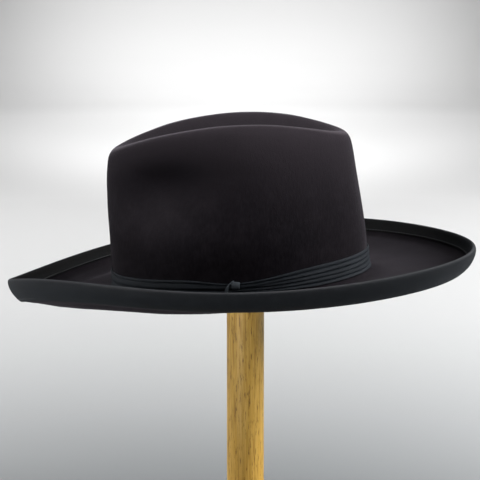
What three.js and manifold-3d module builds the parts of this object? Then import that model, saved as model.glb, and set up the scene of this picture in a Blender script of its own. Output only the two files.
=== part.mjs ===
// A black felt western hat on its plain wooden stand.
// The crown has a lengthwise crease and a pinch on each side of its front, the brim curls up all
// round, its edge is bound in folded ribbon, and a pleated ribbon band is knotted on the left side.
// Millimetres, +Z up. The front of the hat faces -Y and the wearer's left is +X.
import * as THREE from "three";
import { mergeVertices } from "three/addons/utils/BufferGeometryUtils.js";
import Module from "manifold-3d";

// Driving dimensions
const feltThickness = 2;
const pieceGap = 0.3;
const ribbonThickness = 0.8;
const hatTilt = 0.0544;
const hatShift = 1.35;
const postRadius = 14.9;
const postShift = 5.6;
const baseRadius = 88;
const baseThickness = 20;
const socketDepth = 12;
const capRadius = 42;
const capThickness = 16;
const capTop = 328;

// Segments round the hat, and how far apart the samples for a surface direction are
const segments = 60;
const nudge = 0.01;

// Sections of the felt, from the crease in the top, over the ridge and down the wall to the brim's
// curled edge. Extents are from the middle to the front, to the back and to either side. Height is
// at the sides; sway tips the section up at the front, the dips lower its front and back ends by a
// power of how far ahead they are, and twist lifts its left front and right back.
const columns = ["front", "back", "side", "height", "sway", "frontDip", "backDip", "power", "twist"];
const sections = [
  { name: "crease", row: [60, 54, 0, 102, 0, -2, -2, 2, 0] },
  { name: "creaseFloor", row: [68, 61, 10, 103.4, 0, -1, -1.5, 2, 0] },
  { name: "creaseWall", row: [80, 72, 26, 110.5, 0, 5.5, 4, 2, -1] },
  { name: "ridgeInside", row: [90.5, 82.5, 41.5, 121.2, 0, 15.5, 10, 2, -2] },
  { name: "ridge", row: [96.4, 88.4, 49.6, 124.3, -0.4, 19.2, 12.8, 2, -2.9] },
  { name: "ridgeOutside", row: [99.8, 92.3, 57.8, 120.4, 0, 20.6, 13.9, 2, -2.6] },
  { name: "shoulder", row: [101.2, 94.2, 67.2, 109, 0, 17, 12, 2, -2] },
  { name: "upperWall", row: [102.2, 95.8, 75.8, 94.5, -0.5, 14, 11, 2, -1] },
  { name: "middleWall", row: [102.8, 98, 82.4, 74, -1, 12, 10, 2, -0.5] },
  { name: "lowerWall", row: [102.4, 100, 85.4, 50, -2, 8, 7, 2, 0] },
  { name: "bandTop", row: [102, 101.6, 86.3, 26, -3.5, 3, 3, 2, 0] },
  { name: "bandFoot", row: [101.2, 101.5, 86.4, 9, -4, 0, 0, 2, 0] },
  { name: "break", row: [102.6, 102.8, 87.8, 0.6, -4, 0, 0, 2, 0] },
  { name: "brimRoot", row: [108, 108, 93, -3.2, -4, 0, 0, 2, 0] },
  { name: "innerBrim", row: [122, 121.5, 105, -3.4, -3.7, 1.4, 0, 2.4, 0.6] },
  { name: "middleBrim", row: [146, 145, 121.5, -0.8, -2.2, 8, 0.3, 3.2, 3] },
  { name: "curlFoot", row: [169.8, 168, 140.6, 3.9, -0.3, 17.8, 1.4, 3.8, 6.6] },
  { name: "curlLow", row: [175.7, 174, 146.5, 5.7, 0.5, 19.4, 0.8, 4, 7] },
  { name: "curlMiddle", row: [180.2, 178.5, 151, 8.9, 0.6, 18.3, 0.5, 4, 7.2] },
  { name: "curlHigh", row: [183.2, 181.5, 154, 13.6, 0.6, 17.7, 0.2, 4, 7.3] },
  { name: "edge", row: [184.2, 182.5, 155, 18.8, 0.6, 17.4, 0, 4, 7.3] },
];
const level = Object.fromEntries(sections.map((section, index) => [section.name, index]));
const edgeLevel = sections.length - 1;

// How far the curled brim departs from a plain oval: it leads a little forward, its quarters are
// pulled in, and its left front is shaped higher than its right
const brimLead = 0.011;
const frontQuarterPull = -0.038;
const backQuarterPull = -0.052;
const quarterRise = 6.6;

// The pinch on each side of the front of the crown. It is steep above its deepest place and long
// below it, leans forward as it goes down, and fades out towards the middle of the hat.
const pinch = { depth: 17, forward: -46, height: 81, length: 35, rise: 19, fall: 31, lean: 0.3, fade: 3 };

// A smooth value from one column of the table, at any level between its rows
function sectionAt(at) {
  const from = Math.min(Math.floor(at), edgeLevel - 1);
  const part = at - from;
  const rowAt = (index) => sections[Math.min(Math.max(index, 0), edgeLevel)].row;
  const [before, start, end, after] = [rowAt(from - 1), rowAt(from), rowAt(from + 1), rowAt(from + 2)];
  const value = (column) => {
    const slopeStart = (end[column] - before[column]) / 2;
    const slopeEnd = (after[column] - start[column]) / 2;
    const rise = end[column] - start[column];
    const cubic = slopeStart + slopeEnd - 2 * rise;
    const square = 3 * rise - 2 * slopeStart - slopeEnd;
    return start[column] + part * (slopeStart + part * (square + part * cubic));
  };
  return Object.fromEntries(columns.map((name, column) => [name, value(column)]));
}

// A point on the felt's upper and outer face. Turn is 0 at the front and goes by the left side.
function feltPoint(at, turn) {
  const section = sectionAt(at);
  const ahead = Math.cos(turn);
  const left = Math.sin(turn);
  const rootLevel = level.brimRoot;
  const flare = Math.min(Math.max((at - rootLevel) / (level.curlFoot - rootLevel), 0), 1);
  const curled = Math.max(at - level.middleBrim, 0) / (edgeLevel - level.middleBrim);
  const quarter = flare * (ahead > 0 ? frontQuarterPull : backQuarterPull);
  const reach = ahead > 0 ? section.front : section.back;
  const dip = ahead > 0 ? section.frontDip : section.backDip;
  const point = new THREE.Vector3(
    section.side * left * (1 - brimLead * flare * ahead + quarter * ahead * ahead),
    -reach * ahead * (1 + quarter * left * left),
    section.height + section.sway * ahead - dip * Math.abs(ahead) ** section.power
      + section.twist * left * ahead + quarterRise * curled * left * ahead * ahead,
  );
  const above = point.z - pinch.height;
  const along = (point.y - pinch.forward - pinch.lean * above) / pinch.length;
  const up = above / (above > 0 ? pinch.rise : pinch.fall);
  const outside = Math.min(Math.max((at - level.ridgeInside) / 2, 0), 1);
  const press = outside * pinch.depth * Math.exp(-along * along - up * up);
  point.x -= press * Math.tanh(left * pinch.fade);
  return point;
}

// The direction that the felt's upper and outer face looks in
function feltNormal(at, turn) {
  if (at < nudge) {
    return new THREE.Vector3(0, 0, 1);
  }
  const lower = Math.min(at + nudge, edgeLevel);
  const across = feltPoint(lower, turn).sub(feltPoint(lower - 2 * nudge, turn));
  const round = feltPoint(at, turn + nudge).sub(feltPoint(at, turn - nudge));
  return across.cross(round).normalize();
}

// A point a little off the felt: a positive lift is outside the crown and above the brim
function offFelt(at, turn, lift) {
  return feltPoint(at, turn).addScaledVector(feltNormal(at, turn), lift);
}

// A closed mesh from rings of points. With a hem the last ring joins the first, as in a tube that
// closes on itself; without one, the first and last rings are each folded flat onto a line.
const sameCorner = 1e-4;

function meshFromRings(rings, hem) {
  const count = rings[0].length;
  const points = rings.flatMap((ring) => ring.flatMap((point) => [point.x, point.y, point.z]));
  const faces = [];
  const steps = hem ? rings.length : rings.length - 1;
  for (let step = 0; step < steps; step += 1) {
    const next = (step + 1) % rings.length;
    for (let place = 0; place < count; place += 1) {
      const beside = (place + 1) % count;
      const [a, b] = [step * count + place, step * count + beside];
      const [c, d] = [next * count + beside, next * count + place];
      faces.push(a, d, c, a, c, b);
    }
  }
  const geometry = new THREE.BufferGeometry();
  geometry.setAttribute("position", new THREE.Float32BufferAttribute(points, 3));
  geometry.setIndex(faces);
  return withoutThinFaces(mergeVertices(geometry, sameCorner));
}

// The same mesh without the faces that lost a side when their corners were merged
function withoutThinFaces(geometry) {
  const index = geometry.getIndex().array;
  const kept = [];
  for (let face = 0; face < index.length; face += 3) {
    const [a, b, c] = [index[face], index[face + 1], index[face + 2]];
    if (a !== b && b !== c && c !== a) {
      kept.push(a, b, c);
    }
  }
  geometry.setIndex(kept);
  geometry.computeVertexNormals();
  return geometry;
}

const turns = Array.from({ length: segments }, (_, place) => (2 * Math.PI * place) / segments);
const ringAt = (at, lift) => turns.map((turn) => offFelt(at, turn, lift));

// Felt body: crown and brim are one piece of felt. Its levels are the sections, with one more
// between each two down the wall.
function feltBody() {
  const levels = [];
  for (let row = 0; row <= edgeLevel; row += 1) {
    levels.push(row);
    if (row >= level.ridgeOutside && row < level.break) {
      levels.push(row + 0.5);
    }
  }
  const outside = levels.map((at) => ringAt(at, 0));
  const inside = levels.map((at) => ringAt(at, -feltThickness)).reverse();
  return meshFromRings([...outside, ...inside], false);
}

// Binding: a ribbon folded over the brim's edge, wide on the outer face and narrower inside. Its
// section goes up the inner face, over the edge and down the outer face, then back underneath.
const binding = { gap: 0.4, edgeRoom: 0.25 };

function bindingRibbon() {
  const inner = binding.gap;
  const outer = binding.gap + ribbonThickness;
  const innerLevels = [level.curlMiddle, level.curlHigh, edgeLevel];
  const outerLevels = [edgeLevel, level.curlHigh, level.curlMiddle, level.curlLow];
  const above = (lift) => turns.map((turn) => {
    const middle = offFelt(edgeLevel, turn, -feltThickness / 2);
    return middle.add(new THREE.Vector3(0, 0, lift));
  });
  const rings = [
    ...innerLevels.map((at) => ringAt(at, outer)),
    above(outer + binding.edgeRoom),
    ...outerLevels.map((at) => ringAt(at, -feltThickness - outer)),
    ...outerLevels.toReversed().map((at) => ringAt(at, -feltThickness - inner)),
    above(inner + binding.edgeRoom),
    ...innerLevels.toReversed().map((at) => ringAt(at, inner)),
  ];
  return meshFromRings(rings, true);
}

// Band: a ribbon laid in pleats round the foot of the crown, narrower in front, and gathered at the
// knot
const band = {
  pleats: 5,
  pleatRidge: 0.62,
  foot: 0.6,
  gatheredFoot: 2.4,
  frontWidth: 11.6,
  backWidth: 16,
  gatheredWidth: 7.6,
  gatherReach: 0.42,
  valley: 0.5,
  ridge: 1.2,
  gap: 0.45,
};
const knotTurn = 1.674;

// The level of the felt's wall at a height above the break, at one place round the crown, found by
// halving the span between the lower wall and the brim's root
const halvings = 24;

function levelAtHeight(height, turn) {
  let [high, low] = [level.lowerWall, level.brimRoot];
  const wanted = sectionAt(level.break).height + sectionAt(level.break).sway * Math.cos(turn) + height;
  for (let halving = 0; halving < halvings; halving += 1) {
    const middle = (high + low) / 2;
    if (feltPoint(middle, turn).z > wanted) {
      high = middle;
    } else {
      low = middle;
    }
  }
  return (high + low) / 2;
}

// How much the band is gathered at a turn: 1 at the knot and 0 away from it
function gatherAt(turn) {
  const away = Math.abs(Math.atan2(Math.sin(turn - knotTurn), Math.cos(turn - knotTurn)));
  return Math.exp(-((away / band.gatherReach) ** 2));
}

function bandPoint(share, lift, turn) {
  const gather = gatherAt(turn);
  const towardBack = (1 - Math.cos(turn)) / 2;
  const loose = band.frontWidth + (band.backWidth - band.frontWidth) * towardBack;
  const width = loose + (band.gatheredWidth - loose) * gather;
  const foot = band.foot + (band.gatheredFoot - band.foot) * gather;
  return offFelt(levelAtHeight(foot + width * share, turn), turn, band.gap + lift);
}

function pleatedBand() {
  const rings = [];
  for (let fold = 0; fold < band.pleats; fold += 1) {
    rings.push([fold / band.pleats, band.valley]);
    rings.push([(fold + band.pleatRidge) / band.pleats, band.ridge]);
  }
  rings.push([1, band.valley], [1, 0], [0.5, 0], [0, 0]);
  const ringPoints = ([share, lift]) => turns.map((turn) => bandPoint(share, lift, turn));
  return meshFromRings(rings.map(ringPoints).reverse(), true);
}

// A flat strip of ribbon along a curve. The curve's frame turns the deep side one way and the broad
// side the other, so each strip gives both.
function ribbonStrip(points, deep, broad) {
  const path = new THREE.CatmullRomCurve3(points.map((point) => new THREE.Vector3(...point)));
  const outline = new THREE.Shape();
  outline.absellipse(0, 0, deep / 2, broad / 2, 0, 2 * Math.PI);
  const options = { extrudePath: path, steps: 8, curveSegments: 5, bevelEnabled: false };
  return new THREE.ExtrudeGeometry(outline, options);
}

const wasm = await Module();
wasm.setup();

function solidFrom(geometry) {
  const bare = geometry.index ? geometry.toNonIndexed() : geometry.clone();
  bare.deleteAttribute("normal");
  bare.deleteAttribute("uv");
  const merged = mergeVertices(bare, sameCorner);
  return new wasm.Manifold(new wasm.Mesh({
    numProp: 3,
    vertProperties: new Float32Array(merged.attributes.position.array),
    triVerts: new Uint32Array(merged.index.array),
  }));
}

function geometryFrom(solid) {
  const mesh = solid.getMesh();
  const geometry = new THREE.BufferGeometry();
  geometry.setAttribute("position", new THREE.Float32BufferAttribute(mesh.vertProperties, 3));
  geometry.setIndex(new THREE.Uint32BufferAttribute(mesh.triVerts, 1));
  geometry.computeVertexNormals();
  return geometry;
}

// Knot: a narrow strip of the ribbon brought down over the gathered band, with a small fold behind
// it. Its frame stands on the band: x out of the crown, y along the band to the back, z up.
const knot = { clear: 0.3, stripWidth: 3.6, foldWidth: 4.4, thickness: 1.3 };

function ribbonKnot() {
  const strip = ribbonStrip(
    [[-0.7, 0.2, 12.9], [-0.1, -0.6, 11.3], [0.1, -2.2, 8.4], [0.1, -4, 5.2], [0, -5.6, 2.2]],
    knot.thickness,
    knot.stripWidth,
  );
  const fold = ribbonStrip(
    [[-0.1, -0.6, 11], [0.5, 1.6, 11.2], [0.5, 4, 10.6], [-0.1, 6, 9.4]],
    knot.foldWidth,
    knot.thickness,
  );
  return geometryFrom(solidFrom(strip).add(solidFrom(fold)));
}

const knotOut = band.gap + band.ridge + knot.clear + knot.thickness / 2;
const bandMiddle = band.gatheredFoot + band.gatheredWidth / 2;
const knotSeat = offFelt(levelAtHeight(bandMiddle, knotTurn), knotTurn, knotOut);

// A turned piece of wood, from its outline in radius and height, which starts and ends on the axis
function turned(outline, sideCount) {
  const points = outline.map(([radius, height]) => new THREE.Vector2(radius, height));
  return new THREE.LatheGeometry(points, sideCount);
}

// Stand: a round foot with a socket, a round post, and a low dome inside the crown
const postFoot = baseThickness - socketDepth;
const domeOverPost = 6;
const postTop = capTop - domeOverPost;
const capFoot = capTop - capThickness;
const socketRadius = postRadius + pieceGap;
const sides = { base: 40, cap: 32, post: 24 };

function standBase() {
  const footRound = 2;
  const topRound = 8;
  return turned([
    [0, 0],
    [baseRadius - footRound, 0],
    [baseRadius, footRound],
    [baseRadius, baseThickness - topRound],
    [baseRadius - topRound * 0.3, baseThickness - topRound * 0.3],
    [baseRadius - topRound, baseThickness],
    [socketRadius, baseThickness],
    [socketRadius, postFoot],
    [0, postFoot],
  ], sides.base);
}

function standPost() {
  return turned([[0, postFoot], [postRadius, postFoot], [postRadius, postTop], [0, postTop]], sides.post);
}

function standCap() {
  const rimRound = 3;
  const outline = [
    [0, postTop + pieceGap],
    [socketRadius, postTop + pieceGap],
    [socketRadius, capFoot],
    [capRadius - rimRound, capFoot],
    [capRadius, capFoot + rimRound],
  ];
  for (const share of [0.95, 0.7, 0.35, 0]) {
    const height = (capThickness - rimRound) * Math.sqrt(1 - share * share);
    outline.push([capRadius * share, capFoot + rimRound + height]);
  }
  return turned(outline, sides.cap);
}

// Materials, one for each piece
const finish = (color, roughness) => new THREE.MeshStandardMaterial({ color, roughness, metalness: 0 });
const blackFelt = finish(0x1c181a, 0.95);
const bindingGrosgrain = finish(0x262a2e, 0.7);
const bandGrosgrain = finish(0x23292e, 0.65);
const knotGrosgrain = finish(0x2b3136, 0.6);
const goldenWood = finish(0xa8853f, 0.6);

function piece(name, geometry, material) {
  const mesh = new THREE.Mesh(geometry, material);
  mesh.name = name;
  return mesh;
}

const bandKnot = piece("band_knot", ribbonKnot(), knotGrosgrain);
const outward = feltNormal(level.bandFoot, knotTurn).setZ(0).normalize();
bandKnot.position.copy(knotSeat).setZ(knotSeat.z - bandMiddle);
bandKnot.rotation.z = Math.atan2(outward.y, outward.x);

// The hat leans forward a little on the dome, which carries it under the crease
const hat = new THREE.Group();
hat.add(
  piece("crown_and_brim", feltBody(), blackFelt),
  piece("brim_binding", bindingRibbon(), bindingGrosgrain),
  piece("hat_band", pleatedBand(), bandGrosgrain),
  bandKnot,
);
hat.rotation.x = hatTilt;
const seatGap = 0.4;
const creaseHeight = sectionAt(level.crease).height;
const overDome = postShift - hatShift + creaseHeight * Math.tan(hatTilt);
const seatHeight = (creaseHeight - feltThickness) * Math.cos(hatTilt) + overDome * Math.sin(hatTilt);
hat.position.set(0, hatShift, capTop + seatGap - seatHeight);

const stand = new THREE.Group();
stand.add(
  piece("stand_post", standPost(), goldenWood.clone()),
  piece("stand_cap", standCap(), goldenWood.clone()),
  piece("stand_base", standBase(), goldenWood),
);
stand.rotation.x = Math.PI / 2;
stand.position.y = postShift;

const westernHat = new THREE.Group();
westernHat.add(hat, stand);
export default westernHat;
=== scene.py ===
import math

import bpy
from mathutils import Matrix, Vector
from mathutils.bvhtree import BVHTree
from mathutils.kdtree import KDTree


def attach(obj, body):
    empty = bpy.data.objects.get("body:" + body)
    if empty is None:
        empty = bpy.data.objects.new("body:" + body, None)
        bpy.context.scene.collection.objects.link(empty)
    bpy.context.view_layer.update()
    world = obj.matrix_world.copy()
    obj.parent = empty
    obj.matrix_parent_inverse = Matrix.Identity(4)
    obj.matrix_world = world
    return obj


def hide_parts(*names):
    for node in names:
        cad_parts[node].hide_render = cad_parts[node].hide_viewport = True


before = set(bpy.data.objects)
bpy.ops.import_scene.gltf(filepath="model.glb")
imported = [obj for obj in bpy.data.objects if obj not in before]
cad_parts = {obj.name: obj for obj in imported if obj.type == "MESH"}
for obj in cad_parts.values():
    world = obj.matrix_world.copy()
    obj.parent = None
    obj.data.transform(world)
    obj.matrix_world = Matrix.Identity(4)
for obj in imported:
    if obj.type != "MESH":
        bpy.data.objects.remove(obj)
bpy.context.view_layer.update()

# Camera
# A long lens a little above the brim, on the hat's left side and slightly behind it. The hat's own
# origin is the middle of the head opening, on the tilt that the hat has on its stand.
hat_origin = Vector((0, 0.00135, 0.22802))
hat_tilt = 0.0544
hat_frame = Matrix.Translation(hat_origin) @ Matrix.Rotation(hat_tilt, 4, "X")

view_azimuth = math.radians(100)
view_elevation = math.radians(10.61)
view_distance = 1.5
level_back = Vector((math.sin(view_azimuth), -math.cos(view_azimuth), 0))
view_right = Vector((-level_back.y, level_back.x, 0))
view_back = level_back * math.cos(view_elevation) + Vector((0, 0, math.sin(view_elevation)))
view_up = view_back.cross(view_right)
aim_up, aim_left = 0.02843, 0.00016
view_target = hat_origin + view_up * aim_up - view_right * aim_left

camera_data = bpy.data.cameras.new("studio_camera")
camera_data.sensor_width = 36
camera_data.lens = 141.7
camera_data.clip_start = 0.05
camera_data.clip_end = 30
camera = bpy.data.objects.new("studio_camera", camera_data)
camera.location = view_target + view_back * view_distance
camera.rotation_mode = "QUATERNION"
camera.rotation_quaternion = (-view_back).to_track_quat("-Z", "Y")
bpy.context.scene.collection.objects.link(camera)
bpy.context.scene.camera = camera
bpy.context.scene.view_settings.view_transform = "Standard"

# Felt body
# Crown and brim are one piece of black fur felt, blocked to shape over a form with a lengthwise
# crease and a pinch on each side of the front. The nap is brushed short and catches light edge on.


def deselect_all():
    bpy.ops.object.select_all(action="DESELECT")


def select_only(piece):
    deselect_all()
    piece.select_set(True)
    bpy.context.view_layer.objects.active = piece


def copy_of(node, name):
    """A new piece with the node's shape: corners merged and triangles paired into a grid."""
    piece = bpy.data.objects.new(name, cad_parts[node].data.copy())
    bpy.context.scene.collection.objects.link(piece)
    piece.data.materials.clear()
    select_only(piece)
    bpy.ops.object.mode_set(mode="EDIT")
    bpy.ops.mesh.select_all(action="SELECT")
    bpy.ops.mesh.remove_doubles(threshold=1e-5)
    bpy.ops.mesh.tris_convert_to_quads(face_threshold=math.pi, shape_threshold=math.pi)
    bpy.ops.object.mode_set(mode="OBJECT")
    return piece


def apply_modifier(piece, kind, **settings):
    select_only(piece)
    modifier = piece.modifiers.new(kind.lower(), kind)
    for name, value in settings.items():
        setattr(modifier, name, value)
    bpy.ops.object.modifier_apply(modifier=modifier.name)


def subdivide_smooth(piece, levels):
    apply_modifier(piece, "SUBSURF", levels=levels, render_levels=levels)
    bpy.ops.object.shade_smooth()


class Finish:
    """A node material, with short ways to add and join its nodes."""

    def __init__(self, name):
        self.material = bpy.data.materials.new(name)
        self.material.use_nodes = True
        self.nodes = self.material.node_tree.nodes
        self.links = self.material.node_tree.links
        self.shader = self.nodes["Principled BSDF"]

    def set(self, **values):
        for name, value in values.items():
            socket = name.replace("_", " ").title().replace("Ior", "IOR")
            self.shader.inputs[socket].default_value = value

    def add(self, kind, inputs=None, **settings):
        made = self.nodes.new("ShaderNode" + kind)
        for name, value in settings.items():
            setattr(made, name, value)
        for name, value in (inputs or {}).items():
            if isinstance(value, bpy.types.NodeSocket):
                self.links.new(value, made.inputs[name])
            else:
                made.inputs[name].default_value = value
        return made

    def place(self, scale=(1, 1, 1), offset=(0, 0, 0)):
        where = self.add("TexCoord").outputs["Object"]
        return self.add("Mapping", {"Vector": where, "Scale": scale, "Location": offset}).outputs[0]

    def noise(self, where, scale, detail, roughness=0.5):
        inputs = {"Vector": where, "Scale": scale, "Detail": detail, "Roughness": roughness}
        return self.add("TexNoise", inputs).outputs["Fac"]

    def math(self, operation, first, second=0.0):
        return self.add("Math", {0: first, 1: second}, operation=operation).outputs[0]

    def stretch(self, value, low, high, to_low=0.0, to_high=1.0):
        inputs = {"Value": value, "From Min": low, "From Max": high}
        inputs.update({"To Min": to_low, "To Max": to_high})
        return self.add("MapRange", inputs).outputs[0]

    def blend(self, share, first, second):
        made = self.add("Mix", {"Factor": share}, data_type="RGBA")
        for socket, value in ((made.inputs[6], first), (made.inputs[7], second)):
            if isinstance(value, bpy.types.NodeSocket):
                self.links.new(value, socket)
            else:
                socket.default_value = (*value, 1)
        return made.outputs[2]

    def bump(self, height, strength, distance, under=None):
        inputs = {"Height": height, "Strength": strength, "Distance": distance}
        if under is not None:
            inputs["Normal"] = under
        return self.add("Bump", inputs).outputs[0]

    def join(self, name, value):
        self.links.new(value, self.shader.inputs[name])


def black_felt():
    felt = Finish("black_felt")
    felt.set(roughness=1.0, specular_ior_level=0.03, sheen_weight=0.12, sheen_roughness=0.28)
    felt.shader.inputs["Sheen Tint"].default_value = (0.90, 0.82, 0.94, 1)
    where = felt.place()
    broad = felt.noise(where, 16, 3)
    patches = felt.noise(where, 75, 4, 0.6)
    nap = felt.noise(where, 1500, 3, 0.7)
    brushed = felt.noise(felt.place(scale=(1, 1, 0.4)), 520, 4, 0.65)
    mottled = felt.stretch(broad, 0.38, 0.62)
    tone = felt.blend(mottled, (0.0044, 0.0038, 0.0049), (0.0055, 0.0046, 0.0057))
    # The felt is painted lighter towards the top of the crown as painted highlight.
    height = felt.add("SeparateXYZ", {"Vector": where}).outputs["Z"]
    high = felt.math("POWER", felt.stretch(height, 0.285, 0.350), 1.6)
    painted_top_light = felt.blend(high, tone, (0.0182, 0.0152, 0.0180))
    worn = felt.blend(felt.stretch(patches, 0.48, 0.72, 0, 0.40), painted_top_light, (0.0118, 0.0100, 0.0121))
    fibre = felt.blend(felt.stretch(brushed, 0.42, 0.72, 0, 0.35), worn, (0.0140, 0.0121, 0.0144))
    # The pinches are painted darker as shade.
    pinch_shade = felt.add("Attribute", attribute_name="pinch_shade").outputs["Fac"]
    painted_shade_tone = felt.blend(felt.math("MULTIPLY", pinch_shade, 0.9), fibre, (0.0026, 0.0022, 0.0030))
    # The ridge is painted paler for rubbing and as painted highlight, the swell below each pinch as
    # painted highlight.
    rub_and_highlight = felt.add("Attribute", attribute_name="rub_and_highlight").outputs["Fac"]
    pale = felt.blend(felt.math("MULTIPLY", rub_and_highlight, 0.8), painted_shade_tone, (0.046, 0.040, 0.045))
    felt.join("Base Color", pale)
    fine = felt.bump(nap, 0.5, 0.0003)
    felt.join("Normal", felt.bump(brushed, 0.4, 0.0005, fine))
    return felt.material


felt_body = copy_of("crown_and_brim", "felt_body")
subdivide_smooth(felt_body, 2)

# The blocked top stands slightly proud of its ridge line, the most a little behind its middle, and
# fingers have pressed the pinches in more sharply under the ridge. Measures are in millimetres, and
# places are in the hat's own frame. Each pinch is painted darker as shade, the right one less.
into_hat_frame = hat_frame.inverted()
top_rise, top_foot, top_full = 1.7, 86, 111
back_rise, back_place, back_reach = 0.9, 36, 32
press_depth, press_height, press_forward, press_length = 5.5, 88, -38, 42
press_rise, press_fall, press_lean, press_from_middle = 8, 26, 0.25, 25
pinch_shade_rise, pinch_shade_fall, pinch_shade_right = 17, 15, 0.4


def smooth_step(value, low, high):
    share = min(max((value - low) / (high - low), 0), 1)
    return share * share * (3 - 2 * share)


# Each corner's share of the painted shade in the pinches, less on the right side.
pinch_shade = felt_body.data.attributes.new("pinch_shade", "FLOAT", "POINT")
for corner, vertex in enumerate(felt_body.data.vertices):
    place = into_hat_frame @ vertex.co * 1000
    above = place.z - press_height
    along = (place.y - press_forward - press_lean * above) / press_length
    up = above / (press_rise if above > 0 else press_fall)
    press = press_depth * math.exp(-up * up - along * along)
    vertex.co.x -= press * math.tanh(place.x / press_from_middle) / 1000
    up = above / (pinch_shade_rise if above > 0 else pinch_shade_fall)
    strength = 1 if place.x > 0 else pinch_shade_right
    pinch_shade.data[corner].value = strength * math.exp(-up * up - along * along)
    rise = top_rise + back_rise * math.exp(-((place.y - back_place) / back_reach) ** 2)
    vertex.co.z += rise * smooth_step(place.z, top_foot, top_full) / 1000

draw_depth, draw_start, draw_reach = 1.8, 110, 70


def drawn_back(place):
    """Moves the brim's back out a little more than it is blocked. Place is in the hat's frame."""
    share = min(max((place.y - draw_start) / draw_reach, 0), 1)
    return place + Vector((0, draw_depth * share * share, 0))


# Just inside the binding's outer hem the brim sags between the front and the middle of each side
sag_depth, sag_forward, sag_length = 2.4, -72, 82
hem_half_width, hem_half_length, brim_ceiling = 146.5, 175.7, 30
sag_middle, sag_inside, sag_outside = 0.89, 0.09, 0.065
for vertex in felt_body.data.vertices:
    place = into_hat_frame @ vertex.co * 1000
    share = math.hypot(place.x / hem_half_width, place.y / hem_half_length)
    reach = (share - sag_middle) / (sag_inside if share < sag_middle else sag_outside)
    if abs(reach) < 1 and place.z < brim_ceiling:
        along = (place.y - sag_forward) / sag_length
        place.z -= sag_depth * math.cos(reach * math.pi / 2) ** 2 * math.exp(-along ** 4)
    vertex.co = hat_frame @ (drawn_back(place) / 1000)

ridge_half_width, ridge_height, ridge_tilt, ridge_twist = 49.6, 124.3, 0.4, 2.9
ridge_front_reach, ridge_front_dip = 96.4, 19.2
ridge_back_reach, ridge_back_dip = 88.4, 12.8


def ridge_point(turn):
    """A point of the ridge round the top. Turn is 0 at the front and goes by the left."""
    ahead, left = math.cos(turn), math.sin(turn)
    reach = ridge_front_reach if ahead > 0 else ridge_back_reach
    dip = ridge_front_dip if ahead > 0 else ridge_back_dip
    height = ridge_height - ridge_tilt * ahead - dip * ahead * ahead - ridge_twist * left * ahead
    return Vector((ridge_half_width * left, -reach * ahead, height))


# The ridge is painted paler, partly for rubbing by hands and hat boxes and partly as painted
# highlight, and the swell below each pinch a little paler as painted highlight.
ridge_line = KDTree(360)
for step in range(360):
    ridge_line.insert(ridge_point(math.radians(step)), step)
ridge_line.balance()
ridge_pale_near, ridge_pale_far = 1.0, 3.0
swell_highlight, swell_forward, swell_length, swell_height, swell_rise = 0.14, -52, 24, 60, 20
rub_and_highlight = felt_body.data.attributes.new("rub_and_highlight", "FLOAT", "POINT")
for corner, vertex in enumerate(felt_body.data.vertices):
    place = into_hat_frame @ vertex.co * 1000
    along = (place.y - swell_forward) / swell_length
    up = (place.z - swell_height) / swell_rise
    swell = swell_highlight * math.exp(-along ** 2 - up ** 2)
    edge = (ridge_pale_far - ridge_line.find(place)[2]) / (ridge_pale_far - ridge_pale_near)
    rub_and_highlight.data[corner].value = min(max(edge, swell), 1)

# Hand shaping leaves the felt slightly uneven
unevenness = bpy.data.textures.new("unevenness", "CLOUDS")
unevenness.noise_scale = 0.045
unevenness.noise_depth = 1
apply_modifier(felt_body, "DISPLACE", texture=unevenness, strength=0.0009, mid_level=0.5)
felt_body.data.materials.append(black_felt())
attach(felt_body, "root")
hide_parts("crown_and_brim")

# Brim binding
# A grosgrain ribbon folded over the brim's edge all round and sewn through both sides. Its ribs run
# across it, from the hem over the edge. Its fold takes the most rubbing and is painted lighter for
# it and as painted highlight, and its face toward the crown is painted darker as shade.
brim_columns = [
    "front", "back", "side", "height", "sway", "front_dip", "power", "twist", "quarter_rise"]
brim_rings = {
    "outer_hem": [175.7, 174, 146.5, 5.7, 0.5, 19.4, 4, 7, 2.64],
    "inner_hem": [180.2, 178.5, 151, 8.9, 0.6, 18.3, 4, 7.2, 3.96],
    "edge": [184.2, 182.5, 155, 18.8, 0.6, 17.4, 4, 7.3, 6.6],
}
quarter_front, quarter_back, side_shift = -0.038, -0.052, 0.011


def brim_point(ring, turn):
    """A point of the felt's upper face near the brim's edge, turn being 0 at the front and going by
    the left."""
    row = dict(zip(brim_columns, brim_rings[ring]))
    ahead, left = math.cos(turn), math.sin(turn)
    quarter = quarter_front if ahead > 0 else quarter_back
    reach = row["front"] if ahead > 0 else row["back"]
    dip = row["front_dip"] if ahead > 0 else 0
    point = Vector((
        row["side"] * left * (1 - side_shift * ahead + quarter * ahead * ahead),
        -reach * ahead * (1 + quarter * left * left),
        row["height"] + row["sway"] * ahead - dip * abs(ahead) ** row["power"]
        + row["twist"] * left * ahead + row["quarter_rise"] * left * ahead * ahead,
    ))
    return hat_frame @ (drawn_back(point) / 1000)


# Where the binding's face toward the crown is painted darker as shade.
inner_shade_drop, inner_shade_inward, inner_shade_turn = 0.0105, 0.0015, 0.3
side_inner_shade, side_fall = 0.4, 2


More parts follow.
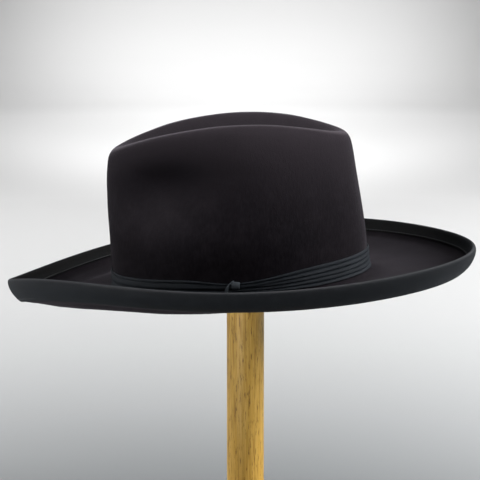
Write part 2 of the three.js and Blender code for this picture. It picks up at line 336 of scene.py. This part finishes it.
def mark_fold_light_and_shade(piece, ring, near, far):
    """Stores how close each corner is to a line round the brim, from 1 within near of it to 0
    beyond far, where the fold is painted lighter, and whether it looks toward the crown, where it
    is painted darker as shade."""
    line = KDTree(720)
    for place in range(720):
        line.insert(brim_point(ring, math.pi * place / 360), place)
    line.balance()
    fold_wear_and_light = piece.data.attributes.new("fold_wear_and_light", "FLOAT", "POINT")
    inner_face_shade = piece.data.attributes.new("inner_face_shade", "FLOAT", "POINT")
    for corner, vertex in enumerate(piece.data.vertices):
        nearest, _, away = line.find(vertex.co)
        fold_wear_and_light.data[corner].value = min(max((far - away) / (far - near), 0), 1)
        inward = math.hypot(nearest.x, nearest.y) - math.hypot(vertex.co.x, vertex.co.y)
        raised = vertex.co.z - nearest.z > -inner_shade_drop and inward > inner_shade_inward
        outward = Vector((vertex.co.x, vertex.co.y, 0)).normalized().dot(vertex.normal)
        hidden = raised and outward < inner_shade_turn
        facing = 1 if hidden else side_inner_shade - side_fall * outward
        inner_face_shade.data[corner].value = min(max(facing, 0), 1)


def ribbed_ribbon(name, ribs_around, dark, light, worn=None):
    """Grosgrain whose ribs stand across a ribbon round the hat, painted darker between the ribs as
    shade. With a worn colour, the fold is painted lighter for rubbing and as painted highlight, and
    the face toward the crown darker as painted shade.
    """
    ribbon = Finish(name)
    ribbon.set(roughness=0.7, specular_ior_level=0.09, sheen_weight=0.03, sheen_roughness=0.4)
    ribbon.shader.inputs["Sheen Tint"].default_value = (0.75, 0.85, 1, 1)
    where = ribbon.place()
    place = ribbon.add("SeparateXYZ", {"Vector": where}).outputs
    turn = ribbon.math("ARCTAN2", place["X"], place["Y"])
    rib = ribbon.math("SINE", ribbon.math("MULTIPLY", turn, float(ribs_around)))
    raised = ribbon.stretch(rib, -1, 1)
    uneven = ribbon.noise(where, 60, 3, 0.6)
    thread = ribbon.noise(where, 900, 3, 0.6)
    tone = ribbon.blend(ribbon.stretch(uneven, 0.35, 0.7), dark, light)
    # The grooves between the ribs are painted darker as shade.
    between = ribbon.math("MULTIPLY", ribbon.math("SUBTRACT", 1.0, raised), 0.35)
    groove_shaded_tone = ribbon.blend(between, tone, (0.004, 0.005, 0.006))
    lint = ribbon.stretch(thread, 0.55, 0.8, 0, 0.25)
    speck = ribbon.blend(lint, groove_shaded_tone, [2.2 * part for part in light])
    # The fold is painted lighter for rubbing and as painted highlight.
    if worn:
        fold_wear_and_light = ribbon.add("Attribute", attribute_name="fold_wear_and_light").outputs["Fac"]
        # The face toward the crown is painted darker as shade.
        inside = ribbon.add("Attribute", attribute_name="inner_face_shade").outputs["Fac"]
        painted_shade_tone = ribbon.blend(inside, speck, [0.15 * part for part in dark])
        open_fold_wear_and_light = ribbon.math("MULTIPLY", fold_wear_and_light, ribbon.math("SUBTRACT", 1.0, inside))
        rub_and_highlight = ribbon.math("MULTIPLY", open_fold_wear_and_light, ribbon.stretch(uneven, 0.2, 0.6, 0.7, 1))
        speck = ribbon.blend(rub_and_highlight, painted_shade_tone, worn)
    ribbon.join("Base Color", speck)
    fine = ribbon.bump(thread, 0.25, 0.0002)
    ribbon.join("Normal", ribbon.bump(raised, 0.5, 0.0003, fine))
    return ribbon.material


brim_ribbon = copy_of("brim_binding", "brim_ribbon")
subdivide_smooth(brim_ribbon, 2)
for vertex in brim_ribbon.data.vertices:
    vertex.co = hat_frame @ (drawn_back(into_hat_frame @ vertex.co * 1000) / 1000)
mark_fold_light_and_shade(brim_ribbon, "edge", 0.0014, 0.0022)
# The third colour is the fold's, painted lighter for rubbing and as painted highlight.
binding_colours = (0.0026, 0.0034, 0.0045), (0.0047, 0.0058, 0.0073), (0.0215, 0.0218, 0.0240)
brim_ribbon.data.materials.append(ribbed_ribbon("binding_grosgrain", 1150, *binding_colours))
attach(brim_ribbon, "root")
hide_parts("brim_binding")

# Stitches of the binding
# One row of machine stitches holds each hem of the folded ribbon to the felt. Each stitch is a
# short length of black thread that dips into the ribbon at both ends.
stitch_length, stitch_width, stitch_height, stitch_bend = 0.0021, 0.00055, 0.0005, 1.3
stitch_shares = (-0.5, -0.3, 0, 0.3, 0.5)
stitch_sides = 6


def turn_faces_out(piece):
    select_only(piece)
    bpy.ops.object.mode_set(mode="EDIT")
    bpy.ops.mesh.select_all(action="SELECT")
    bpy.ops.mesh.normals_make_consistent(inside=False)
    bpy.ops.object.mode_set(mode="OBJECT")


def loose_mesh(name, points, faces):
    """A new piece from corner points and faces, selected and with its faces turned outwards."""
    mesh = bpy.data.meshes.new(name)
    mesh.from_pydata(points, [], faces)
    piece = bpy.data.objects.new(name, mesh)
    bpy.context.scene.collection.objects.link(piece)
    turn_faces_out(piece)
    return piece


def surface_of(piece):
    return BVHTree.FromObject(piece, bpy.context.evaluated_depsgraph_get())


def stitch_row(name, ring, toward_edge, off_felt, count):
    """A row of stitches along one hem, on the ribbon's face that is off_felt away from the felt."""
    ribbon_face = surface_of(brim_ribbon)
    points, faces = [], []
    for stitch in range(count):
        turn = 2 * math.pi * stitch / count
        hem, edge = brim_point(ring, turn), brim_point("edge", turn)
        along = (brim_point(ring, turn + 0.01) - brim_point(ring, turn - 0.01)).normalized()
        up = (edge - hem).normalized()
        out = up.cross(along).normalized() * off_felt
        seat, normal, _, _ = ribbon_face.find_nearest(hem + (edge - hem) * toward_edge + out)
        side = normal.cross(along).normalized() * stitch_width / 2
        first = len(points)
        for share in stitch_shares:
            middle = seat + along * stitch_length * share
            arch = 0.5 - abs(share) * stitch_bend if abs(share) < 0.5 else -0.5
            for corner in range(stitch_sides):
                turned = math.radians(360 * corner / stitch_sides)
                rise = math.sin(turned) * stitch_width / 2 + stitch_height * arch / 2
                points.append(middle + side * math.cos(turned) + normal * rise)
        last = first + stitch_sides * (len(stitch_shares) - 1)
        for ring_start in range(first, last, stitch_sides):
            for corner in range(stitch_sides):
                a, b = ring_start + corner, ring_start + (corner + 1) % stitch_sides
                faces.append((a, b, b + stitch_sides, a + stitch_sides))
        faces.append(tuple(range(first, first + stitch_sides)))
        faces.append(tuple(range(last, last + stitch_sides)))
    row = loose_mesh(name, points, faces)
    bpy.ops.object.shade_smooth()
    return row


def black_thread():
    thread = Finish("black_thread")
    thread.set(roughness=0.5, specular_ior_level=0.35)
    where = thread.place()
    ply = thread.noise(where, 2400, 2)
    thread.join("Base Color", thread.blend(ply, (0.010, 0.011, 0.013), (0.030, 0.032, 0.036)))
    thread.join("Normal", thread.bump(ply, 0.3, 0.0001))
    return thread.material


hem_thread = black_thread()
for name, ring, toward_edge, off_felt in (
        ("outer_hem_stitches", "outer_hem", 0.13, -0.0034),
        ("inner_hem_stitches", "inner_hem", 0.16, 0.0014)):
    stitches = stitch_row(name, ring, toward_edge, off_felt, 340)
    stitches.data.materials.append(hem_thread)
    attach(stitches, "root")

# Pleated hat band
# A narrow grosgrain ribbon is laid round the foot of the crown in five folds that overlap like
# shingles. The folds run together where the band is drawn through its knot on the left side.
crown_face = surface_of(felt_body)
break_half_width, break_half_length, break_height, break_dip = 0.0885, 0.1035, 0.0006, 0.004
knot_turn = 1.674
band_foot, gathered_foot = 0.0006, 0.0024
band_width_front, band_width_back, gathered_width = 0.0135, 0.0160, 0.0080
gather_reach_front, gather_reach_back = 0.24, 0.42
fan_opened, fan_closing, fan_closed = 0.35, 3.4, 5.2


def on_crown(turn, height, lift):
    """A point off the crown's wall, at a height above the break between crown and brim."""
    local = Vector((
        break_half_width * math.sin(turn), -break_half_length * math.cos(turn),
        break_height - break_dip * math.cos(turn) + height))
    seat, normal, _, _ = crown_face.find_nearest(hat_frame @ local)
    return seat + normal * lift


def from_knot(turn):
    away = turn - knot_turn
    return math.atan2(math.sin(away), math.cos(away))


def gather_at(turn):
    away = from_knot(turn)
    return math.exp(-((away / (gather_reach_back if away > 0 else gather_reach_front)) ** 2))


def fan_at(turn):
    """How far the folds are fanned out: 0 in front of the knot, 1 from the knot round the back."""
    behind = from_knot(turn) % (2 * math.pi)
    return smooth_step(behind, 0, fan_opened) - smooth_step(behind, fan_closing, fan_closed)


def band_height(turn, share):
    gather = gather_at(turn)
    foot = band_foot + (gathered_foot - band_foot) * gather
    loose = band_width_front + (band_width_back - band_width_front) * (1 - math.cos(turn)) / 2
    width = loose + (gathered_width - loose) * gather
    return foot + width * share


def wander(turn, seed):
    """A smooth, closed, irregular value between about -1 and 1."""
    return (0.5 * math.sin(3 * turn + 1.7 * seed) + 0.3 * math.sin(7 * turn + 2.9 * seed)
            + 0.2 * math.sin(13 * turn + 4.1 * seed))


fold_columns = ["share", "width", "roll", "lift"]
front_folds = [
    [0.12, 2.0, 20, 0.60], [0.31, 2.4, 16, 1.00], [0.64, 3.4, 10, 0.70],
    [0.685, 4.6, 12, 1.15], [0.93, 2.0, 20, 1.15]]
back_folds = [
    [0.09, 2.7, 22, 1.00], [0.29, 2.9, 24, 1.10], [0.50, 3.0, 24, 1.15],
    [0.71, 2.9, 26, 1.15], [0.92, 2.5, 18, 1.05]]
fold_thickness, fold_turns, fold_sides = 1.05, 300, 14
share_wander, roll_wander, lift_wander = 0.016, 7, 0.00012
gathered_roll, gathered_narrower, gathered_thicker, gathered_lift = 12, 0.40, 0.2, 0.0002


def ribbon_fold(number):
    """Rings of points for one fold of the band, all round the crown."""
    front = dict(zip(fold_columns, front_folds[number]))
    back = dict(zip(fold_columns, back_folds[number]))
    rings = []
    for place in range(fold_turns):
        turn = 2 * math.pi * place / fold_turns
        gather, fan = gather_at(turn), fan_at(turn)
        fold = {column: front[column] + (back[column] - front[column]) * fan
                for column in fold_columns}
        share = fold["share"] + share_wander * wander(turn, number) * (1 - gather)
        height = band_height(turn, share)
        step = 0.0004
        seat = on_crown(turn, height, 0)
        up = (on_crown(turn, height + step, 0) - on_crown(turn, height - step, 0)).normalized()
        along = (on_crown(turn + 0.01, height, 0) - on_crown(turn - 0.01, height, 0)).normalized()
        out = along.cross(up).normalized()
        if out.dot(seat - hat_origin) < 0:
            out = -out
        roll = math.radians(
            fold["roll"] + roll_wander * wander(turn, number + 5) + gathered_roll * gather)
        wide = up * math.cos(roll) - out * math.sin(roll)
        thick = out * math.cos(roll) + up * math.sin(roll)
        half_width = fold["width"] / 2000 * (1 - gathered_narrower * gather)
        half_thick = fold_thickness / 2000 * (1 + gathered_thicker * gather)
        lift = (fold["lift"] / 1000 + lift_wander * wander(turn, number + 9)
                + gathered_lift * gather)
        middle = seat + out * lift
        ring = []
        for side in range(fold_sides):
            angle = 2 * math.pi * side / fold_sides
            across, deep = math.cos(angle), math.sin(angle)
            ring.append(middle + wide * half_width * math.copysign(abs(across) ** 0.8, across)
                        + thick * half_thick * math.copysign(abs(deep) ** 0.9, deep))
        rings.append(ring)
    return rings


def closed_loops(name, many_rings):
    """One piece from tubes that each run round the hat and close on themselves."""
    points, faces = [], []
    for rings in many_rings:
        first, count, sides = len(points), len(rings), len(rings[0])
        for ring in rings:
            points.extend(ring)
        for step in range(count):
            following = (step + 1) % count
            for side in range(sides):
                beside = (side + 1) % sides
                faces.append((first + step * sides + side, first + step * sides + beside,
                              first + following * sides + beside, first + following * sides + side))
    piece = loose_mesh(name, points, faces)
    bpy.ops.object.shade_smooth()
    return piece


backing_inner, backing_edge, backing_outer = 0.00048, 0.0007, 0.00075
backing_rows = [
    (0.04, backing_inner), (0.04, backing_edge), (0.35, backing_outer), (0.65, backing_outer),
    (0.96, backing_edge), (0.96, backing_inner), (0.65, backing_inner), (0.35, backing_inner)]


def band_backing():
    """The flat inner turn of the ribbon, which closes the gaps between the folds."""
    rings = []
    for place in range(fold_turns):
        turn = 2 * math.pi * place / fold_turns
        rings.append([
            on_crown(turn, band_height(turn, share), lift) for share, lift in backing_rows])
    return rings


band_colours = (0.0052, 0.0068, 0.0092), (0.0088, 0.0111, 0.0146)
band_folds = [ribbon_fold(number) for number in range(len(front_folds))]
pleated_band = closed_loops("pleated_band", band_folds + [band_backing()])
pleated_band.data.materials.append(ribbed_ribbon("band_grosgrain", 640, *band_colours))
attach(pleated_band, "root")
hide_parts("hat_band")

# Knot of the band
# The ribbon's end comes up over the gathered folds, round them once, and down to the front, where
# its tail is tucked under. It is the same ribbon, folded to a third of its width.
knot_height = 0.0075
knot_seat = on_crown(knot_turn, knot_height, 0)
above_knot, below_knot = (on_crown(knot_turn, knot_height + step, 0) for step in (0.001, -0.001))
behind_knot, before_knot = (on_crown(knot_turn + step, knot_height, 0) for step in (0.02, -0.02))
knot_up = (above_knot - below_knot).normalized()
knot_along = (behind_knot - before_knot).normalized()
knot_out = knot_along.cross(knot_up).normalized()
if knot_out.x < 0:
    knot_out = -knot_out


def knot_point(out, along, up):
    return knot_seat + (knot_out * out + knot_along * along + knot_up * up) / 1000


def ribbon_end(name, rows, thickness):
    """A strip of ribbon from rows of centre, half-width and bulge, in out, along and up."""
    sides = 9
    points, faces = [], []
    for centre, half, crown in rows:
        for side in range(sides):
            share = 2 * side / (sides - 1) - 1
            bulge = crown * (1 - share * share)
            out, along, up = (centre[axis] + half[axis] * share for axis in range(3))
            points.append(knot_point(out + bulge, along, up))
    for row in range(len(rows) - 1):
        for side in range(sides - 1):
            a = row * sides + side
            faces.append((a, a + 1, a + sides + 1, a + sides))
    strip = loose_mesh(name, points, faces)
    apply_modifier(strip, "SOLIDIFY", thickness=thickness / 1000, offset=0)
    subdivide_smooth(strip, 2)
    return strip


wrap_rows = [
    ([0.6, 2.0, 3.6], [0, 3.0, -0.5], 0.1),
    ([1.7, 2.0, 4.1], [0, 3.1, -0.6], 0.2),
    ([2.8, 1.9, 3.5], [0, 3.2, -0.6], 0.3),
    ([3.5, 1.8, 2.2], [0, 3.2, -0.5], 0.3),
    ([3.6, 1.8, 0.7], [0, 3.2, -0.3], 0.3),
    ([3.0, 1.8, -0.7], [0, 3.1, -0.1], 0.2),
    ([1.8, 1.8, -1.5], [0, 2.9, 0], 0.1),
]
tail_rows = [
    ([1.4, 0.2, 4.4], [0.2, 0.9, 0.9], 0.1),
    ([2.9, -0.8, 4.6], [0.1, 0.8, 1.0], 0.2),
    ([3.8, -2.3, 3.6], [0, 0.8, 1.0], 0.3),
    ([4.1, -4.0, 1.8], [0, 1.0, 0.8], 0.35),
    ([4.0, -4.9, -0.4], [0, 1.25, 0.4], 0.35),
    ([3.6, -5.2, -2.6], [0, 1.3, 0.2], 0.3),
    ([3.0, -5.6, -4.8], [0, 1.4, 0.2], 0.25),
    ([2.3, -5.9, -6.6], [0, 1.5, 0.2], 0.1),
]
knot_thickness = 0.7
knot_wrap = ribbon_end("knot_wrap", wrap_rows, knot_thickness)
knot_tail = ribbon_end("knot_tail", tail_rows, knot_thickness)
deselect_all()
knot_tail.select_set(True)
knot_wrap.select_set(True)
bpy.context.view_layer.objects.active = knot_wrap
bpy.ops.object.join()
ribbon_knot = bpy.context.view_layer.objects.active
ribbon_knot.name = "ribbon_knot"
# The knot is the band's ribbon, but its colours are much lighter as painted highlight.
ribbon_knot.data.materials.append(
    ribbed_ribbon("knot_highlight_grosgrain", 640, (0.030, 0.035, 0.041), (0.051, 0.058, 0.066)))
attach(ribbon_knot, "root")
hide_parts("band_knot")

# Wooden stand
# A softwood post stands in a turned round foot and carries a low turned dome, on which the crown
# rests. All three are plain, sanded and waxed. Their grain runs along the post and across the foot.
post_shift = 0.0056
post_radius, post_foot, post_top = 0.0149, 0.008, 0.322
socket_gap, socket_bevel = 0.0003, 0.0006
socket_radius = post_radius + socket_gap
base_radius, base_thickness = 0.088, 0.020
cap_radius, cap_foot, cap_top = 0.042, 0.312, 0.3293
post_round, base_low_round, base_round, cap_round = 0.0008, 0.002, 0.008, 0.003


def spun(name, outline, steps, merge):
    """A piece spun once round the upright axis from its outline in radius and height."""
    mesh = bpy.data.meshes.new(name)
    lines = [(corner, corner + 1) for corner in range(len(outline) - 1)]
    mesh.from_pydata([(radius, 0, height) for radius, height in outline], lines, [])
    piece = bpy.data.objects.new(name, mesh)
    bpy.context.scene.collection.objects.link(piece)
    select_only(piece)
    bpy.ops.object.mode_set(mode="EDIT")
    bpy.ops.mesh.select_all(action="SELECT")
    bpy.ops.mesh.spin(steps=steps, angle=2 * math.pi, center=(0, 0, 0), axis=(0, 0, 1))
    bpy.ops.mesh.select_all(action="SELECT")
    bpy.ops.mesh.remove_doubles(threshold=merge)
    bpy.ops.object.mode_set(mode="OBJECT")
    return piece


def turned_wood(name, outline):
    """A piece turned on the lathe from an outline that starts and ends on the axis."""
    piece = spun(name, outline, 96, 1e-6)
    turn_faces_out(piece)
    piece.data.transform(Matrix.Translation((0, post_shift, 0)))
    bpy.ops.object.shade_smooth_by_angle(angle=math.radians(40))
    return piece


def rounded(corner_radius, corner_height, size, start, end, points):
    """Points of a quarter round in an outline, from one angle to another, about its own centre."""
    arc = []
    for point in range(points):
        angle = math.radians(start + (end - start) * point / (points - 1))
        arc.append((corner_radius + size * math.cos(angle), corner_height + size * math.sin(angle)))
    return arc


def waxed_wood(name, grain):
    """Golden softwood: grain gives how far the figure is drawn out along each axis."""
    wood = Finish(name)
    wood.set(roughness=0.5, specular_ior_level=0.3)
    drawn = wood.place(scale=grain)
    long_grain, short_grain = (
        [part if part == 1 else part * share for part in grain] for share in (0.5, 1.9))
    longer = wood.place(scale=long_grain, offset=(3.1, 1.7, 2.3))
    shorter = wood.place(scale=short_grain, offset=(0.7, 4.1, 1.3))
    broad = wood.noise(drawn, 60, 3, 0.6)
    fibre = wood.noise(longer, 1050, 3, 0.65)
    streak = wood.noise(drawn, 420, 4, 0.65)
    pore = wood.noise(shorter, 760, 3, 0.6)
    tone = wood.blend(wood.stretch(broad, 0.3, 0.7), (0.310, 0.170, 0.021), (0.455, 0.268, 0.041))
    combed = wood.blend(wood.stretch(fibre, 0.38, 0.62, 0, 0.55), tone, (0.570, 0.372, 0.094))
    figured = wood.blend(wood.stretch(streak, 0.50, 0.68, 0, 0.60), combed, (0.200, 0.106, 0.015))
    dark = wood.blend(wood.stretch(pore, 0.57, 0.68, 0, 0.85), figured, (0.096, 0.046, 0.007))
    wood.join("Base Color", dark)
    wood.join("Roughness", wood.stretch(streak, 0.3, 0.7, 0.42, 0.6))
    wood.join("Normal", wood.bump(pore, 0.35, 0.0003, wood.bump(fibre, 0.25, 0.0003)))
    return wood.material


post_side = [(post_radius, post_foot + (post_top - post_foot) * step / 12) for step in range(1, 12)]
post_inner = post_radius - post_round
stand_post = turned_wood("round_post", [
    (0, post_foot), *rounded(post_inner, post_foot + post_round, post_round, -90, 0, 4), *post_side,
    *rounded(post_inner, post_top - post_round, post_round, 0, 90, 4), (0, post_top)])
stand_post.data.materials.append(waxed_wood("post_wood", (1, 1, 0.07)))

stand_foot = turned_wood("round_foot", [
    (0, 0), *rounded(base_radius - base_low_round, base_low_round, base_low_round, -90, 0, 5),
    *rounded(base_radius - base_round, base_thickness - base_round, base_round, 0, 90, 9),
    (socket_radius + socket_bevel, base_thickness),
    (socket_radius, base_thickness - socket_bevel), (socket_radius, post_foot), (0, post_foot)])
stand_foot.data.materials.append(waxed_wood("foot_wood", (0.07, 1, 1)))

# The dome reaches up to the crown's raised top
cap_edge = cap_foot + cap_round
dome = []
for angle in range(90, -1, -6):
    turned = math.radians(angle)
    dome.append((cap_radius * math.sin(turned), cap_edge + (cap_top - cap_edge) * math.cos(turned)))
stand_dome = turned_wood("crown_dome", [
    (0, post_top + socket_gap), (socket_radius, post_top + socket_gap), (socket_radius, cap_foot),
    *rounded(cap_radius - cap_round, cap_edge, cap_round, -90, -15, 5), *dome])
stand_dome.data.materials.append(waxed_wood("dome_wood", (0.07, 1, 1)))

for piece, solid in (
        (stand_post, "stand_post"), (stand_foot, "stand_base"), (stand_dome, "stand_cap")):
    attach(piece, "root")
    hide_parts(solid)

# Stage
# The stand is in the middle of a round sweep of pale paper, painted darker as shade under it and up
# the wall and glowing faintly further out as painted light. Five soft lights are behind, in front,
# overhead, low in front and behind the near side. Two spots light the paper behind the hat, and a
# third stands for what a pale floor throws up at the post.
paper_turn, paper_top = 3.2, 5
turn_radius = 1.2
softbox_side = 0.9


def paper_sweep():
    paper = Finish("pale_paper")
    paper.set(roughness=0.95, specular_ior_level=0.1)
    where = paper.add("TexCoord").outputs["Object"]
    away = paper.add("VectorMath", {0: where}, operation="LENGTH").outputs["Value"]
    # The paper is painted darker as shade near the stand and far up the wall.
    near = paper.blend(paper.stretch(away, 0.14, 1.8), (0.120, 0.127, 0.131), (0.80, 0.80, 0.80))
    paper.join("Base Color", paper.blend(paper.stretch(away, 3.0, 4.4), near, (0.31, 0.31, 0.31)))
    paper.shader.inputs["Emission Color"].default_value = (1, 1, 1, 1)
    # The paper glows more further from the stand, as painted light.
    paper.join("Emission Strength", paper.stretch(away, 0.2, 1.6, 0, 0.07))
    return paper.material


sweep_outline = [(0, 0), (0.6, 0), (1.4, 0), (2.4, 0), (paper_turn, 0)]
for angle in range(10, 91, 10):
    turned = math.radians(angle)
    sweep_outline.append((
        paper_turn + turn_radius * math.sin(turned), turn_radius - turn_radius * math.cos(turned)))
sweep = spun("paper_sweep", sweep_outline + [(paper_turn + turn_radius, paper_top)], 64, 1e-5)
bpy.ops.object.shade_smooth()
sweep.data.materials.append(paper_sweep())

world = bpy.data.worlds.new("studio_world")
bpy.context.scene.world = world
world.use_nodes = True
world.node_tree.nodes["Background"].inputs["Color"].default_value = (1, 1, 1, 1)
world.node_tree.nodes["Background"].inputs["Strength"].default_value = 0.13


def new_light(kind, name, place, aim, power):
    """A light at a place that looks toward another."""
    data = bpy.data.lights.new(name, kind)
    data.energy = power
    light = bpy.data.objects.new(name, data)
    light.location = place
    light.rotation_mode = "QUATERNION"
    light.rotation_quaternion = (aim - Vector(place)).to_track_quat("-Z", "Y")
    bpy.context.scene.collection.objects.link(light)
    return light


def soft_light(name, place, power):
    light = new_light("AREA", name, place, hat_origin, power)
    light.data.shape = "RECTANGLE"
    light.data.size, light.data.size_y = softbox_side, softbox_side
    light.visible_camera = False


def spot_light(name, place, aim, angle, power):
    light = new_light("SPOT", name, place, aim, power)
    light.data.spot_size = math.radians(angle)
    light.data.spot_blend = 1
    light.data.shadow_soft_size = 0.2


soft_light("back_softbox", (-0.250, 1.420, 1.181), 53)
soft_light("front_softbox", (0.250, -1.420, 1.181), 22)
soft_light("overhead_softbox", (-0.696, 0.488, 1.752), 24)
soft_light("near_softbox", (0.827, 1.181, 1.181), 13)
soft_light("low_front_softbox", (0.059, -1.682, 0.517), 12)

pool_place = -level_back * 0.6 + Vector((0, 0, 1.3))
bounce_place = level_back * 0.45 - view_right * 0.3 + Vector((0, 0, 0.03))
spot_light("floor_pool", pool_place, -level_back * 2.9, 37, 300)
spot_light("wall_pool", pool_place, -level_back * 3.85 + Vector((0, 0, 0.22)), 29, 500)
spot_light("floor_bounce", bounce_place, Vector((0, 0, 0.19)), 34, 32)
